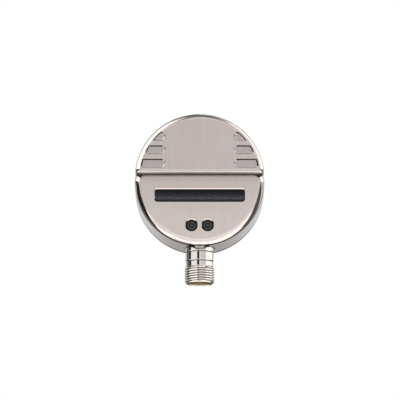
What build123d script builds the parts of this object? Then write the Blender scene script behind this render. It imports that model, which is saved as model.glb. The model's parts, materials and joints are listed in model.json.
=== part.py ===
from build123d import *
import os
from math import asin, cos, degrees, radians, sin, sqrt

os.makedirs("parts", exist_ok=True)

# Flow switch with a round steel head. All sizes are in millimetres.
# X runs to the right of the display, Y from the display towards the probe tip, and Z up.
# The origin is on the probe's axis, where the process thread meets its hexagon.

# Process connection
thread_radius = 10.48
thread_length = 14.0
thread_chamfer = 1.0
thread_pitch = 1.814
thread_depth = 1.05
thread_crest = 0.3
hexagon_flats = 27.0
hexagon_length = 9.0
hexagon_chamfer = 1.0
flange_radius = 13.0
flange_gap = 0.2
spigot_radius = 8.0
spigot_chamfer = 0.5
lead_bore_radius = 3.0

# Probe
probe_radius = 4.1
probe_wall = 0.5
probe_tip_wall = 0.8
probe_tip_chamfer = 1.4
probe_reach = 31.0
probe_seat_depth = 11.5
strip_width = 5.0
strip_thickness = 1.0
strip_inset = 1.5
collar_length = 5.0
collar_inset = 0.5
probe_wire_radius = 0.4
probe_wire_pitch = 1.2

# Housing
housing_radius = 26.0
housing_depth = 32.5
housing_wall = 2.0
front_wall = 1.8
rear_gap = 2.5
edge_round = 2.3
plate_lap = 0.4
rear_chamfer = 0.8
step_height = 2.0
step_depth = 7.5
step_round = 1.2
face_corner = 2.4

# Grip grooves on the upper block
groove_count = 3
groove_width = 3.7
groove_pitch = 5.5
groove_first = 5.65
groove_inner = 13.6
groove_depth = 0.8
groove_rim = 1.8
groove_slope = 35.0
groove_floor_round = 0.3

# Display window
window_width = 35.9
window_height = 5.0
window_corner = 1.0
window_drop = 6.0
window_recess = 0.5
window_lap = 1.2
window_flange = 1.2
opening_bevel = 0.3
gasket_thickness = 0.6
lamp_count = 11
lamp_pitch = 3.2
lamp_width = 1.6
lamp_height = 0.8
cell_width = 2.5
cell_height = 3.6

# Keys
key_spacing = 6.52
key_drop = 18.2
key_hole_radius = 2.3
key_radius = 2.1
key_recess = 0.9
key_dish_depth = 0.45
key_ring_width = 0.55
key_nub_radius = 0.75
key_edge = 0.15
key_flange_radius = 2.9
key_flange = 0.8
key_stem_radius = 1.2
key_travel = 0.5
mat_thickness = 0.7
mat_margin = 1.9
mat_corner = 2.0
switch_side = 3.8
switch_height = 2.4
switch_well = 1.6
plunger_radius = 1.0
plunger_proud = 0.6

# Boards and what carries them
board_standoff = 5.8
display_board_thickness = 1.0
main_board_thickness = 1.2
board_gap = 5.5
board_margin = 0.7
display_board_top = 3.0
main_board_low = 17.5
carrier_notch = 16.6
carrier_wall = 1.2
post_radius = 1.7
post_inset = 2.65
post_turns = (2.0, -44.0)
screw_radius = 0.8
screw_head_radius = 1.7
screw_head = 1.2
screw_bite = 5.0
screw_socket = 0.6
socket_hexagon = 0.8

# Pieces on the boards, each as its middle (x, z), its width and height, and how far it stands out
header_place = (0.0, -10.0, 14.0, 2.5)
microcontroller_place = (0.0, 9.0, 7.0, 7.0, 1.2)
regulator_place = (-12.0, 6.0, 4.5, 6.5, 2.3)
driver_place = (12.0, 4.0, 5.0, 4.0, 1.5)
inductor_place = (-8.0, 15.0, 6.6, 6.6, 3.5)
inductor_corner = 1.5
capacitor_middle = (9.0, 14.0)
capacitor_radius = 3.2
capacitor_height = 11.0
socket_width = 6.0
socket_height = 3.0

# Chips on the sensor strip, each as its width, length, height and distance from the tip
heater_place = (3.2, 2.6, 1.0, 5.0)
flow_chip_place = (2.2, 1.6, 0.7, 9.0)
media_chip_place = (2.2, 1.6, 0.7, 22.0)

# Connector
connector_setback = 20.0
spot_face_depth = 1.0
spot_face_radius = 6.4
boss_radius = 7.1
boss_wall = 2.6
shell_thread_radius = 6.0
shell_thread_length = 6.6
shell_thread_chamfer = 0.5
shell_thread_pitch = 1.0
shell_thread_depth = 0.58
shell_thread_crest = 0.16
shell_neck_radius = 5.5
shell_neck_length = 2.2
shell_collar_radius = 5.65
shell_collar_length = 4.0
shell_groove = 0.3
spigot_lead = 0.4
shell_flange = 1.7
shell_spigot_radius = 4.75
shell_bore_radius = 4.8
shell_inner_radius = 3.9
seal_radius = 5.5
seal_thickness = 0.5
nut_radius = 6.8
nut_thickness = 1.7
nut_slot = 1.6
nut_slot_depth = 0.7
nut_slot_width = 1.05
insert_wall = 0.55
insert_floor = 1.5
insert_recess = 2.2
socket_depth = 9.0
contact_circle = 2.5
contact_radius = 0.5
contact_inset = 1.4
contact_tip = 0.2
coding_rib = 0.8
coding_rib_inset = 1.0
lead_radius = 0.45
pin_tail = 0.8
terminal_width = 6.4
terminal_height = 3.0
terminal_margin = 0.4
terminal_overlap = 0.5

# Rear closure and swivel
cover_thickness = 3.4
cover_seat_step = 0.5
cover_boss_radius = 11.5
cover_boss = 1.5
cover_gasket = 0.5
gasket_width = 1.6
ring_thickness = 1.0
ring_bite = 0.6
ring_width = 1.7
ring_gap = 14.0
ring_inset = 0.1
lug_radius = 1.5
lug_turn = 3.5
lug_inset = 0.2
lug_hole = 0.6
bush_wall = 1.15
washer_width = 1.5
seal_ring_width = 1.4
seal_ring_depth = 0.9
circlip_thickness = 1.0
circlip_depth = 0.6
circlip_width = 2.6
circlip_gap = 7.0
spigot_end = 1.1
stop_circle = 11.3
stop_pin_radius = 1.0
stop_depth = 1.5
stop_pin_seat = 0.4
swing_limit = 172.0

# Clearances
running = 0.05
key_play = 0.08
stop_play = 0.15
loose = 0.1
side_play = 0.15
end_play = 0.3
swing_spare = 0.5

# Places along Y
back_y = -(hexagon_length + rear_gap)
front_y = back_y - housing_depth
face_y = front_y + step_depth
face_inner_y = face_y + front_wall
block_inner_y = front_y + front_wall
plate_back_y = face_y + edge_round + plate_lap
display_board_y = face_inner_y + board_standoff
spacer_y = display_board_y + display_board_thickness
main_board_y = spacer_y + board_gap
main_board_back_y = main_board_y + main_board_thickness
connector_y = front_y + connector_setback
ring_back_y = back_y - ring_inset
ring_front_y = ring_back_y - ring_thickness
cover_back_y = ring_front_y
cover_front_y = cover_back_y - cover_thickness
ledge_y = cover_front_y - cover_gasket
boss_front_y = ledge_y - cover_boss
flange_front_y = back_y + flange_gap
circlip_back_y = boss_front_y - running
circlip_front_y = circlip_back_y - circlip_thickness
spigot_front_y = circlip_front_y - spigot_end
probe_tip_y = thread_length + probe_reach
probe_seat_y = thread_length - probe_seat_depth
strip_y = probe_seat_y + strip_inset
stop_pin_y = -hexagon_length - stop_pin_seat
seal_y = (boss_front_y + cover_back_y) / 2
bore_radius = housing_radius - housing_wall
seat_radius = bore_radius + cover_seat_step

# Places along Z, on the connector
spot_z = -(housing_radius - spot_face_depth)
boss_z = spot_z + boss_wall
flange_z = spot_z - seal_thickness
collar_z = flange_z - shell_flange
neck_z = collar_z - shell_collar_length
thread_z = neck_z - shell_neck_length
shell_end_z = thread_z - shell_thread_length
nut_z = boss_z + nut_thickness
shell_top_z = nut_z + loose
insert_rim_z = shell_end_z + insert_recess
insert_floor_z = shell_end_z + socket_depth
insert_step_z = insert_floor_z + insert_floor
terminal_z = -main_board_low + terminal_overlap


# Planes and simple solids

def facing(y):
    return Plane((0, y, 0), x_dir=(1, 0, 0), z_dir=(0, -1, 0))


def slab(outline, y_low, y_high):
    return extrude(facing(y_high) * outline, y_high - y_low)


def tower(outline, z_low, z_high):
    return extrude(Plane((0, connector_y, z_low)) * outline, z_high - z_low)


def ring(outer, inner):
    return Circle(outer) - Circle(inner)


def block_above(z):
    return Pos(0, z + housing_radius) * Rectangle(3 * housing_radius, 2 * housing_radius)


def block_below(z):
    return Pos(0, z - housing_radius) * Rectangle(3 * housing_radius, 2 * housing_radius)


def wedge(half_angle, reach, middle):
    corners = [(0, 0)]
    for turn in (-half_angle, half_angle):
        angle = radians(middle + turn)
        corners.append((reach * cos(angle), reach * sin(angle)))
    return make_face(Polyline(*corners, close=True))


def ridged_side(radius, depth, pitch, crest, low, high):
    # A thread as rings: radius and place along the axis, from one end to the other.
    count = int((high - low) / pitch)
    start = low + (high - low - count * pitch) / 2
    points = [(radius, low)]
    for i in range(count):
        valley = start + (i + 0.5) * pitch
        reach = (pitch - crest) / 2
        points += [(radius, valley - reach), (radius - depth, valley), (radius, valley + reach)]
    points.append((radius, high))
    return points


def window_outline(width, height, corner):
    return Pos(0, -window_drop) * RectangleRounded(width, height, corner)


def post_points():
    reach = bore_radius - post_inset
    turns = [radians(turn) for turn in post_turns]
    return [(side * reach * cos(turn), reach * sin(turn)) for turn in turns for side in (-1, 1)]


def at_posts(outline):
    return [Pos(x, z) * outline for x, z in post_points()]


# Housing

def upper_block():
    block = slab(Circle(housing_radius) & block_above(step_height), front_y, plate_back_y)
    front = block.faces().filter_by(Axis.Y).sort_by(Axis.Y)[0]
    block = fillet(front.edges().filter_by(GeomType.CIRCLE), edge_round)
    wall = block.faces().filter_by(Axis.Z).sort_by(Axis.Z)[0]
    outer = [edge for edge in wall.edges() if edge.center().Y < plate_back_y - 0.01]
    return fillet(outer, step_round)


def lower_plate():
    corner = face_corner + edge_round
    outline = Circle(housing_radius) & block_below(step_height + edge_round)
    outline = fillet(outline.vertices(), corner)
    plate = slab(outline, face_y, plate_back_y)
    front = plate.faces().filter_by(Axis.Y).sort_by(Axis.Y)[0]
    return fillet(front.edges(), edge_round)


def can_blank():
    can = slab(Circle(housing_radius), plate_back_y, back_y)
    back = can.faces().filter_by(Axis.Y).sort_by(Axis.Y)[-1]
    can = chamfer(back.edges(), rear_chamfer)
    return can + lower_plate() + upper_block()


def cavity():
    main = slab(Circle(bore_radius), face_inner_y, back_y + 1)
    upper = slab(
        Circle(bore_radius) & block_above(step_height + front_wall), block_inner_y, face_inner_y + 1
    )
    seat = slab(Circle(seat_radius), ledge_y, back_y + 1)
    clip = slab(Circle(seat_radius + ring_bite), ring_front_y, ring_back_y)
    return main + upper + seat + clip


def groove(side, z):
    length = housing_radius - groove_inner
    outline = Pos(side * (groove_inner + length), z) * SlotOverall(2 * length, groove_width)
    outline = outline & Circle(housing_radius - groove_rim)
    pocket = extrude(facing(front_y) * outline, -groove_depth, taper=groove_slope)
    floor = pocket.faces().filter_by(Axis.Y).sort_by(Axis.Y)[-1]
    return fillet(floor.edges(), groove_floor_round)


def grooves():
    heights = [groove_first + groove_pitch * i for i in range(groove_count)]
    return [groove(side, z) for z in heights for side in (-1, 1)]


def housing():
    can = can_blank() - cavity() - grooves()
    window = window_outline(window_width, window_height, window_corner)
    holes = [Pos(side * key_spacing / 2, -key_drop) * Circle(key_hole_radius) for side in (-1, 1)]
    for outline in [window, *holes]:
        can = can - slab(outline, face_y - 1, face_inner_y + 1)
    face = can.faces().filter_by(Axis.Y).filter_by(lambda f: abs(f.center().Y - face_y) < 0.01)[0]
    rims = [edge for wire in face.inner_wires() for edge in wire.edges()]
    can = chamfer(rims, opening_bevel)
    can = can + tower(Circle(boss_radius), spot_z, boss_z)
    can = can - tower(Circle(spot_face_radius), spot_z - 5, spot_z)
    return can - tower(Circle(shell_spigot_radius + loose), spot_z - 1, boss_z + 1)


def rear_cover():
    cover = slab(Circle(seat_radius - loose), cover_front_y, cover_back_y)
    cover = cover + slab(Circle(cover_boss_radius), boss_front_y, cover_front_y)
    cover = cover - slab(Circle(spigot_radius + running + bush_wall), boss_front_y - 1, cover_back_y + 1)
    track = ring(stop_circle + stop_pin_radius + stop_play, stop_circle - stop_pin_radius - stop_play)
    pin_half = degrees(asin(stop_pin_radius / stop_circle))
    land_half = 180 - swing_limit - swing_spare - pin_half
    track = track - wedge(land_half, 2 * stop_circle, 90)
    return cover - slab(track, cover_back_y - stop_depth, cover_back_y + 1)


def rear_cover_gasket():
    return slab(ring(seat_radius - loose, seat_radius - gasket_width), ledge_y, cover_front_y)


def retaining_ring():
    outer = seat_radius + ring_bite - running
    inner = seat_radius - ring_width
    clip = ring(outer, inner) - wedge(ring_gap / 2, 2 * outer, 90)
    middle = inner + lug_inset
    for side in (-1, 1):
        turn = radians(90 + side * (ring_gap / 2 + lug_turn))
        lug = Pos(middle * cos(turn), middle * sin(turn))
        clip = clip + lug * Circle(lug_radius) - lug * Circle(lug_hole)
    return slab(clip, ring_front_y, ring_back_y)


# Window, lamps and keys

def display_window():
    lap = 2 * window_lap
    flange = window_outline(window_width + lap, window_height + lap, window_corner + window_lap)
    pane = window_outline(
        window_width - 2 * loose, window_height - 2 * loose, window_corner - loose
    )
    flange_y = face_inner_y + gasket_thickness
    front = slab(pane, face_y + window_recess, flange_y)
    return front + slab(flange, flange_y, flange_y + window_flange)


def window_gasket():
    lap = 2 * window_lap
    flange = window_outline(window_width + lap, window_height + lap, window_corner + window_lap)
    hole = window_outline(window_width, window_height, window_corner)
    return slab(flange - hole, face_inner_y, face_inner_y + gasket_thickness)


def lamp_places():
    middle = (lamp_count - 1) / 2
    return [lamp_pitch * (i - middle) for i in range(lamp_count)]


def light_baffle():
    outline = window_outline(window_width + window_lap, window_height + window_lap, window_corner)
    cells = [Pos(x, -window_drop) * Rectangle(cell_width, cell_height) for x in lamp_places()]
    front = face_inner_y + gasket_thickness + window_flange
    return slab(outline, front, display_board_y) - [
        slab(cell, front - 1, display_board_y + 1) for cell in cells
    ]


def bargraph_lamps():
    outline = Rectangle(lamp_width, lamp_width)
    return [
        slab(Pos(x, -window_drop) * outline, display_board_y - lamp_height, display_board_y)
        for x in lamp_places()
    ]


def key_mat():
    wide = key_spacing + 2 * (key_radius + mat_margin)
    tall = 2 * (key_radius + mat_margin) - mat_corner
    mat = Pos(0, -key_drop) * RectangleRounded(wide, tall, mat_corner)
    for side in (-1, 1):
        mat = mat - Pos(side * key_spacing / 2, -key_drop) * Circle(key_radius + side_play)
    return slab(mat, face_inner_y, face_inner_y + mat_thickness)


def key(side):
    front = face_y + key_recess
    flange = face_inner_y + mat_thickness
    stem = flange + key_flange
    tip = display_board_y - switch_height - plunger_proud
    ring_inner = key_radius - key_ring_width
    floor = front + key_dish_depth
    profile = Polyline(
        (0, front + key_edge),
        (key_nub_radius - key_edge, front + key_edge),
        (key_nub_radius, front + 2 * key_edge),
        (key_nub_radius, floor),
        (ring_inner - key_edge, floor),
        (ring_inner, front + key_edge),
        (ring_inner + key_edge, front),
        (key_radius - key_edge, front),
        (key_radius, front + key_edge),
        (key_radius, flange),
        (key_flange_radius, flange),
        (key_flange_radius, stem),
        (key_stem_radius, stem),
        (key_stem_radius, tip),
        (0, tip),
        close=True,
    )
    return Pos(side * key_spacing / 2, 0, -key_drop) * revolve(make_face(profile), Axis.Y)


def switch_base(side):
    place = Pos(side * key_spacing / 2, -key_drop)
    front = display_board_y - switch_height
    well = slab(place * Circle(plunger_radius + key_play), front - 1, front + switch_well)
    return slab(place * Rectangle(switch_side, switch_side), front, display_board_y) - well


def switch_plunger(side):
    place = Pos(side * key_spacing / 2, -key_drop)
    front = display_board_y - switch_height
    deep = front + switch_well - key_travel - 2 * loose
    return slab(place * Circle(plunger_radius), front - plunger_proud, deep)


# Carrier and boards

def inner_carrier():
    outer = Circle(bore_radius - side_play) & block_below(step_height + front_wall - side_play)
    inner = Circle(bore_radius - side_play - carrier_wall)
    inner = inner & block_below(step_height + front_wall - side_play - carrier_wall)
    frame = outer - inner
    for post in at_posts(Circle(post_radius)):
        frame = frame + (post & outer)
    room = 2 * window_lap + 2 * side_play
    frame = frame - window_outline(window_width + room, window_height + room, window_corner + window_lap)
    notch_height = 2 * (housing_radius + nut_z - end_play)
    frame = frame - Pos(0, -housing_radius) * Rectangle(carrier_notch, notch_height)
    for hole in at_posts(Circle(screw_radius)):
        frame = frame - hole
    return slab(frame, face_inner_y, display_board_y)


def display_board():
    low = nut_z + end_play
    board = Circle(bore_radius - board_margin) & block_below(display_board_top) & block_above(low)
    for hole in at_posts(Circle(screw_radius + end_play)):
        board = board - hole
    return slab(board, display_board_y, spacer_y)


def main_board():
    board = Circle(bore_radius - board_margin) & block_above(-main_board_low)
    for hole in at_posts(Circle(screw_radius + end_play)):
        board = board - hole
    return slab(board, main_board_y, main_board_back_y)


def board_spacers():
    return [
        slab(tube, spacer_y, main_board_y)
        for tube in at_posts(RegularPolygon(post_radius, 6) - Circle(screw_radius + end_play))
    ]


def board_screws():
    head_y = main_board_back_y + screw_head
    screws = []
    for x, z in post_points():
        shank = slab(Pos(x, z) * Circle(screw_radius), display_board_y - screw_bite, main_board_back_y)
        head = slab(Pos(x, z) * Circle(screw_head_radius), main_board_back_y, head_y)
        socket = slab(Pos(x, z) * RegularPolygon(socket_hexagon, 6), head_y - screw_socket, head_y + 1)
        screws.append(shank + head - socket)
    return screws


def on_main_board(outline, height):
    return slab(outline, main_board_y - height, main_board_y)


def block_on_main_board(place):
    x, z, width, tall, height = place
    return on_main_board(Pos(x, z) * Rectangle(width, tall), height)


def board_header():
    x, z, width, tall = header_place
    return slab(Pos(x, z) * Rectangle(width, tall), spacer_y, main_board_y)


def microcontroller():
    return block_on_main_board(microcontroller_place)


def voltage_regulator():
    return block_on_main_board(regulator_place)


def output_driver():
    return block_on_main_board(driver_place)


def filter_capacitor():
    return on_main_board(Pos(*capacitor_middle) * Circle(capacitor_radius), capacitor_height)


def inductor():
    x, z, width, tall, height = inductor_place
    return on_main_board(Pos(x, z) * RectangleRounded(width, tall, inductor_corner), height)


def probe_socket():
    return slab(Rectangle(socket_width, socket_height), main_board_back_y, spigot_front_y - end_play)


# Connector

def shell_profile():
    thread_side = ridged_side(
        shell_thread_radius,
        shell_thread_depth,
        shell_thread_pitch,
        shell_thread_crest,
        shell_end_z + shell_thread_chamfer,
        thread_z,
    )
    return [
        (shell_inner_radius, shell_top_z),
        (shell_spigot_radius - spigot_lead, shell_top_z),
        (shell_spigot_radius, shell_top_z - spigot_lead),
        (shell_spigot_radius, flange_z),
        (shell_collar_radius, flange_z),
        (shell_collar_radius, collar_z),
        (shell_collar_radius - shell_groove, collar_z),
        (shell_collar_radius - shell_groove, collar_z - shell_groove),
        (shell_collar_radius, collar_z - shell_groove),
        (shell_collar_radius, neck_z + shell_groove),
        (shell_neck_radius - shell_groove, neck_z + shell_groove),
        (shell_neck_radius - shell_groove, neck_z),
        (shell_neck_radius, neck_z),
        (shell_neck_radius, thread_z),
        *reversed(thread_side),
        (shell_thread_radius - shell_thread_chamfer, shell_end_z),
        (shell_bore_radius, shell_end_z),
        (shell_bore_radius, insert_step_z),
        (shell_inner_radius, insert_step_z),
    ]


def upright(points):
    profile = Plane.XZ * make_face(Polyline(*points, close=True))
    return Pos(0, connector_y, 0) * revolve(profile, Axis.Z)


def connector_shell():
    return upright(shell_profile())


def connector_seal():
    return tower(ring(seal_radius, shell_spigot_radius + loose), flange_z, spot_z)


def connector_lock_nut():
    nut = tower(ring(nut_radius, shell_spigot_radius), boss_z, nut_z)
    bar = tower(Rectangle(2 * nut_radius, nut_slot), nut_z - nut_slot_depth, nut_z + 1)
    connector_axis = Axis((0, connector_y, 0), (0, 0, 1))
    slots = [bar.rotate(connector_axis, 45 + 90 * i) for i in range(2)]
    core = tower(Circle(nut_radius - nut_slot_width), boss_z, nut_z + 1)
    for slot in slots:
        nut = nut - (slot - core)
    return nut


def contact_points():
    return [
        (contact_circle * cos(radians(45 + 90 * i)), contact_circle * sin(radians(45 + 90 * i)))
        for i in range(4)
    ]


def connector_insert():
    cup = upright(
        [
            (0, shell_top_z - loose),
            (shell_inner_radius, shell_top_z - loose),
            (shell_inner_radius, insert_step_z),
            (shell_bore_radius, insert_step_z),
            (shell_bore_radius, insert_rim_z),
            (shell_bore_radius - insert_wall, insert_rim_z),
            (shell_bore_radius - insert_wall, insert_floor_z),
            (0, insert_floor_z),
        ]
    )
    inner = shell_bore_radius - insert_wall
    rib = Pos(0, coding_rib / 2 - inner) * Rectangle(coding_rib, 2 * coding_rib)
    rib = rib & Circle(inner + insert_wall / 2)
    cup = cup + tower(rib, insert_rim_z + coding_rib_inset, insert_floor_z + loose)
    for x, y in contact_points():
        cup = cup - tower(Pos(x, y) * Circle(contact_radius), insert_floor_z - 1, shell_top_z + 1)
    return cup


def contact_pin(i):
    x, y = contact_points()[i]
    low = shell_end_z + contact_inset
    pin = tower(Pos(x, y) * Circle(contact_radius), low, shell_top_z + pin_tail)
    tip = pin.faces().sort_by(Axis.Z)[0]
    return chamfer(tip.edges(), contact_tip)


def connector_leads():
    start = shell_top_z + pin_tail
    leads = []
    for x, y in contact_points():
        end = -main_board_low if y > 0 else terminal_z
        leads.append(tower(Pos(x, y) * Circle(lead_radius), start, end))
    return leads


def lead_terminal():
    deep = main_board_y - connector_y + contact_circle + terminal_margin
    outline = Pos(0, terminal_z + terminal_height / 2) * Rectangle(terminal_width, terminal_height)
    return on_main_board(outline, deep)


# Process body, swivel and probe

def process_body():
    body = slab(Circle(spigot_radius), spigot_front_y, flange_front_y)
    body = chamfer(body.edges().sort_by(Axis.Y)[0], spigot_chamfer)
    body = body + slab(Circle(flange_radius), flange_front_y, -hexagon_length)
    hexagon = slab(RegularPolygon(hexagon_flats / 2, 6, major_radius=False), -hexagon_length, 0)
    corners = slab(Circle(hexagon_flats / sqrt(3)), -hexagon_length, 0)
    corners = chamfer(corners.edges().filter_by(GeomType.CIRCLE), hexagon_chamfer, 1.7 * hexagon_chamfer)
    body = body + (hexagon & corners)
    thread_end = thread_length - thread_chamfer
    side = ridged_side(thread_radius, thread_depth, thread_pitch, thread_crest, 0, thread_end)
    tip = [(thread_radius - thread_chamfer, thread_length), (0, thread_length)]
    outline = make_face(Polyline((0, 0), *side, *tip, close=True))
    body = body + revolve(outline, Axis.Y)
    body = body - slab(
        ring(spigot_radius + 1, spigot_radius - circlip_depth), circlip_front_y, circlip_back_y
    )
    half = seal_ring_width / 2
    body = body - slab(
        ring(spigot_radius + 1, spigot_radius - seal_ring_depth), seal_y - half, seal_y + half
    )
    body = body - slab(Circle(lead_bore_radius), spigot_front_y - 1, thread_length)
    body = body - slab(Circle(probe_radius), probe_seat_y, thread_length + 1)
    pin = Pos(0, -stop_circle) * Circle(stop_pin_radius)
    return body - slab(pin, flange_front_y - 1, stop_pin_y)


def stop_pin():
    place = Pos(0, -stop_circle)
    tip = cover_back_y - stop_depth + end_play
    return slab(place * Circle(stop_pin_radius), tip, stop_pin_y)


def swivel_bush():
    inner = spigot_radius + running
    return slab(ring(inner + bush_wall, inner), boss_front_y, cover_back_y)


def thrust_washer():
    inner = spigot_radius + loose
    return slab(ring(inner + washer_width, inner), cover_back_y + running, flange_front_y)


def swivel_seal():
    half = seal_ring_width / 2
    return slab(ring(spigot_radius, spigot_radius - seal_ring_depth), seal_y - half, seal_y + half)


def swivel_circlip():
    inner = spigot_radius - circlip_depth
    mouth = Pos(0, inner) * Rectangle(circlip_gap, 2 * circlip_width + 2)
    clip = ring(inner + circlip_width, inner) - mouth
    return slab(clip, circlip_front_y, circlip_back_y)


def probe_tube():
    outer = slab(Circle(probe_radius), probe_seat_y, probe_tip_y)
    outer = chamfer(outer.edges().sort_by(Axis.Y)[-1], probe_tip_chamfer)
    inner = slab(Circle(probe_radius - probe_wall), probe_seat_y, probe_tip_y - probe_tip_wall)
    inner = chamfer(inner.edges().sort_by(Axis.Y)[-1], probe_tip_chamfer - probe_wall)
    return outer - inner


def sensor_strip():
    end = probe_tip_y - probe_tip_wall - end_play
    return slab(Rectangle(strip_width, strip_thickness), strip_y, end)


def strip_collar():
    collar = Circle(probe_radius - probe_wall) - Rectangle(strip_width, strip_thickness)
    start = strip_y + collar_inset
    return slab(collar, start, start + collar_length)


def chip(place):
    width, length, height, back_from_tip = place
    low = strip_thickness / 2
    outline = Pos(0, low + height / 2) * Rectangle(width, height)
    middle = probe_tip_y - back_from_tip
    return slab(outline, middle - length / 2, middle + length / 2)


def heater_chip():
    return chip(heater_place)


def flow_sensing_chip():
    return chip(flow_chip_place)


def media_sensing_chip():
    return chip(media_chip_place)


def probe_leads():
    places = [probe_wire_pitch * (i - 1.5) for i in range(4)]
    return [slab(Pos(x, 0) * Circle(probe_wire_radius), spigot_front_y, strip_y) for x in places]


# Every piece under its node's name

def write(name, shape):
    solids = shape if isinstance(shape, list) else [shape]
    loose_solids = [solid for item in solids for solid in item.solids()]
    whole = loose_solids[0] if len(loose_solids) == 1 else Compound(children=loose_solids)
    whole.label = name
    export_step(whole, f"parts/{name}.step")


def main():
    pieces = {
        "housing": housing(),
        "rear_cover": rear_cover(),
        "rear_cover_gasket": rear_cover_gasket(),
        "retaining_ring": retaining_ring(),
        "display_window": display_window(),
        "window_gasket": window_gasket(),
        "light_baffle": light_baffle(),
        "bargraph_lamps": bargraph_lamps(),
        "key_mat": key_mat(),
        "inner_carrier": inner_carrier(),
        "display_board": display_board(),
        "main_board": main_board(),
        "board_spacers": board_spacers(),
        "board_screws": board_screws(),
        "board_header": board_header(),
        "microcontroller": microcontroller(),
        "voltage_regulator": voltage_regulator(),
        "output_driver": output_driver(),
        "filter_capacitor": filter_capacitor(),
        "inductor": inductor(),
        "probe_socket": probe_socket(),
        "connector_shell": connector_shell(),
        "connector_seal": connector_seal(),
        "connector_lock_nut": connector_lock_nut(),
        "connector_insert": connector_insert(),
        "connector_leads": connector_leads(),
        "lead_terminal": lead_terminal(),
        "process_body": process_body(),
        "stop_pin": stop_pin(),
        "swivel_bush": swivel_bush(),
        "thrust_washer": thrust_washer(),
        "swivel_seal": swivel_seal(),
        "swivel_circlip": swivel_circlip(),
        "probe_tube": probe_tube(),
        "sensor_strip": sensor_strip(),
        "strip_collar": strip_collar(),
        "heater_chip": heater_chip(),
        "flow_sensing_chip": flow_sensing_chip(),
        "media_sensing_chip": media_sensing_chip(),
        "probe_leads": probe_leads(),
    }
    for name, side in (("left", -1), ("right", 1)):
        pieces[f"{name}_key"] = key(side)
        pieces[f"{name}_switch_base"] = switch_base(side)
        pieces[f"{name}_switch_plunger"] = switch_plunger(side)
    for i in range(4):
        pieces[f"contact_pin_{i + 1}"] = contact_pin(i)
    for name, shape in pieces.items():
        write(name, shape)


main()
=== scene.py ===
import json
from math import cos, pi, radians, sin, sqrt

import bpy
import bmesh
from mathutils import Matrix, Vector


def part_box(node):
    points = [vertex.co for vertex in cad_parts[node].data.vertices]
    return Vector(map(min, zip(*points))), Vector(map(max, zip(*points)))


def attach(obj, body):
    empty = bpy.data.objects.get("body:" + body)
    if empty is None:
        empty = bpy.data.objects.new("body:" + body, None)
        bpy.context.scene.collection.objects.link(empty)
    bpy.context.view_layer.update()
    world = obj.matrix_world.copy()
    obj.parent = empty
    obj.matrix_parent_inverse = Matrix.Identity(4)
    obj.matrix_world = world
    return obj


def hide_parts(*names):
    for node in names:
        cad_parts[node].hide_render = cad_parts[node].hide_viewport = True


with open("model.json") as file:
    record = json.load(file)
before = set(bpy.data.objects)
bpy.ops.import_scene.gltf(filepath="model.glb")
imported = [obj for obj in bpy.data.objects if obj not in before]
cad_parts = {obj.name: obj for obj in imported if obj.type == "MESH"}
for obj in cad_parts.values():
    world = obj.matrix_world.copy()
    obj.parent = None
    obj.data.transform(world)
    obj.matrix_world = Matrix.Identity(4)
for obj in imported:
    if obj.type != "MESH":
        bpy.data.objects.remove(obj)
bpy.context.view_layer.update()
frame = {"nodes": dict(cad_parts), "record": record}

# Dressed flow switch: round steel head, bar display, two recessed keys, plug and probe.
# Metres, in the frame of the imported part. X is the display's right, Y runs into the head, Z is up.

nodes = frame["nodes"]
mm = 0.001
print("frame loaded,", len(nodes), "nodes")


# Camera

cameraSetup = {
    "elevation": -10.5,          # degrees; the camera stands below the head and looks up
    "distance": 3.0,
    "sensor": 36.0,
    "clip": (0.01, 50.0),
    "pixelsPerMm": 2.497,        # across the round front
    "frontPixel": (199.6, 176.9),  # where the middle of the round front lies
    "framePixels": 400,
}


def makeCamera(setup):
    up = radians(-setup["elevation"])
    ahead = Vector((0, cos(up), sin(up)))
    upward = Vector((0, -sin(up), cos(up)))
    right = Vector((1, 0, 0))
    perPixel = mm / setup["pixelsPerMm"]
    half = setup["framePixels"] / 2
    low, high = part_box("housing")
    front = Vector((0, low.y, 0))
    aim = front + right * (half - setup["frontPixel"][0]) * perPixel
    aim -= upward * (half - setup["frontPixel"][1]) * perPixel
    camera = bpy.data.cameras.new("camera")
    camera.sensor_width = setup["sensor"]
    camera.lens = setup["sensor"] * setup["distance"] / (setup["framePixels"] * perPixel)
    camera.clip_start, camera.clip_end = setup["clip"]
    holder = bpy.data.objects.new("camera", camera)
    bpy.context.scene.collection.objects.link(holder)
    holder.location = aim - ahead * setup["distance"]
    holder.rotation_mode = "QUATERNION"
    holder.rotation_quaternion = ahead.to_track_quat("-Z", "Y")
    bpy.context.scene.camera = holder


makeCamera(cameraSetup)
print("camera ready")


# Node helpers

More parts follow.
